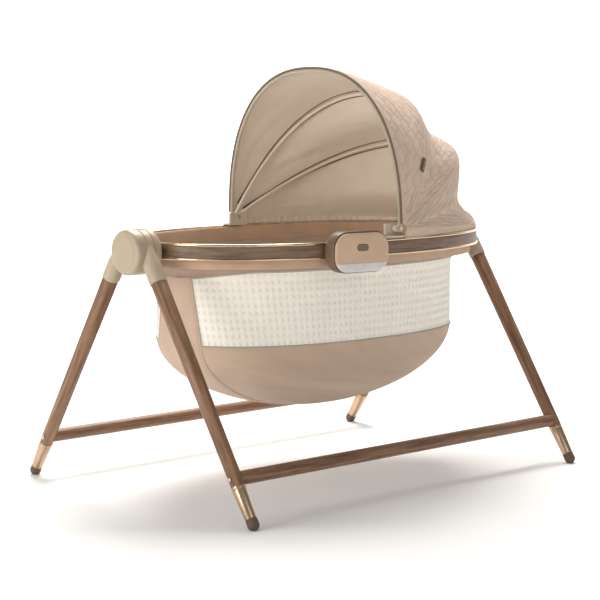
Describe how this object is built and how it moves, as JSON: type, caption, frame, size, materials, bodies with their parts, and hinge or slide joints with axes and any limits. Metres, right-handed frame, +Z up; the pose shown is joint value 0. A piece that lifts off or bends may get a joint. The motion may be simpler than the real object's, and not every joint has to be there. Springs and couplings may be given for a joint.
{
  "type": "bassinet on stand",
  "caption": "Oval fabric bassinet with mesh sides and a fan canopy, swinging on a folding A-leg stand with a light and sound unit on its rim.",
  "frame": {"origin": "on the floor, under the middle of the cot", "axes": "+X along the cot towards the canopy end, -Y towards the side with the control unit, +Z up"},
  "size_m": [1.058, 0.7716, 0.9256],
  "materials": {
    "wood": "satin walnut",
    "cream_plastic": "fine matt",
    "gold_metal": "polished champagne bronze",
    "steel": "bright",
    "rubber": "matt",
    "beige_fabric": "fine knit",
    "mesh_fabric": "open spacer mesh",
    "white_fabric": "soft jersey",
    "fibre_board": "raw",
    "brown_plastic": "satin",
    "beige_plastic": "satin",
    "diffuser": "translucent",
    "dark_plastic": "satin",
    "circuit": "solder resist"
  },
  "bodies": {
    "front_frame": {"leg_front_left": "wood", "leg_front_right": "wood", "ferrule_front_left": "gold_metal", "ferrule_front_right": "gold_metal", "foot_front_left": "rubber", "foot_front_right": "rubber", "rail_front": "wood", "rail_bolt_front_left": "steel", "rail_bolt_front_right": "steel", "hub_front_left": "cream_plastic", "hub_front_right": "cream_plastic", "swing_bush_left": "dark_plastic", "swing_bush_right": "dark_plastic"},
    "rear_frame": {"leg_rear_left": "wood", "leg_rear_right": "wood", "ferrule_rear_left": "gold_metal", "ferrule_rear_right": "gold_metal", "foot_rear_left": "rubber", "foot_rear_right": "rubber", "rail_rear": "wood", "rail_bolt_rear_left": "steel", "rail_bolt_rear_right": "steel", "hub_rear_left": "cream_plastic", "hub_rear_right": "cream_plastic"},
    "basket": {"basket_hanger_left": "cream_plastic", "basket_hanger_right": "cream_plastic", "hub_axle_left": "steel", "hub_axle_right": "steel", "rim_top_bead": "gold_metal", "rim_band": "wood", "rim_bottom_bead": "gold_metal", "top_band": "beige_fabric", "mesh_window_front": "mesh_fabric", "mesh_window_back": "mesh_fabric", "end_panel_left": "beige_fabric", "end_panel_right": "beige_fabric", "base_shell": "beige_fabric", "mattress_board": "fibre_board", "mattress": "white_fabric", "canopy_bracket_front": "cream_plastic", "canopy_bracket_back": "cream_plastic", "canopy_pivot_pin_front": "steel", "canopy_pivot_pin_back": "steel", "control_housing": "brown_plastic", "control_face": "beige_plastic", "light_diffuser": "diffuser", "circuit_board": "circuit", "speaker": "dark_plastic", "battery_pack": "dark_plastic"},
    "canopy_rear": {"rear_bow": "cream_plastic", "canopy_rear_panel": "beige_fabric"},
    "canopy_middle": {"middle_bow": "cream_plastic", "canopy_middle_panel": "beige_fabric"},
    "canopy_front": {"front_bow": "brown_plastic", "canopy_front_panel": "beige_fabric"},
    "control_button": {"control_button": "dark_plastic"},
    "release_left": {"release_button_left": "cream_plastic"},
    "release_right": {"release_button_right": "cream_plastic"}
  },
  "joints": [
    {"name": "stand_fold", "type": "hinge", "parent": "front_frame", "child": "rear_frame", "pos_m": [0, 0, 0.532], "axis": [-1, 0, 0], "range_deg": [0, 58]},
    {"name": "basket_swing", "type": "hinge", "parent": "front_frame", "child": "basket", "pos_m": [0, 0, 0.532], "axis": [1, 0, 0], "range_deg": [-12, 12]},
    {"name": "canopy_fold", "type": "hinge", "parent": "basket", "child": "canopy_rear", "pos_m": [0.012, 0, 0.572], "axis": [0, 1, 0], "range_deg": [0, 20], "deforming": ["canopy_rear_panel"]},
    {"name": "canopy_middle_fold", "type": "hinge", "parent": "canopy_rear", "child": "canopy_middle", "pos_m": [0.012, 0, 0.572], "axis": [0, 1, 0], "range_deg": [0, 25], "deforming": ["canopy_middle_panel"]},
    {"name": "canopy_front_fold", "type": "hinge", "parent": "canopy_middle", "child": "canopy_front", "pos_m": [0.012, 0, 0.572], "axis": [0, 1, 0], "range_deg": [0, 30], "deforming": ["canopy_front_panel"]},
    {"name": "control_press", "type": "slide", "parent": "basket", "child": "control_button", "axis": [0.127, 0.9919, 0], "range_m": [0, 0.0015], "stiffness_N_per_m": 400},
    {"name": "release_press_left", "type": "slide", "parent": "front_frame", "child": "release_left", "axis": [0, 0, -1], "range_m": [0, 0.004], "stiffness_N_per_m": 600},
    {"name": "release_press_right", "type": "slide", "parent": "front_frame", "child": "release_right", "axis": [0, 0, -1], "range_m": [0, 0.004], "stiffness_N_per_m": 600}
  ],
  "couplings": [
    {"joint": "canopy_middle_fold", "follows": "canopy_fold", "ratio": 1.25},
    {"joint": "canopy_front_fold", "follows": "canopy_fold", "ratio": 1.5}
  ]
}
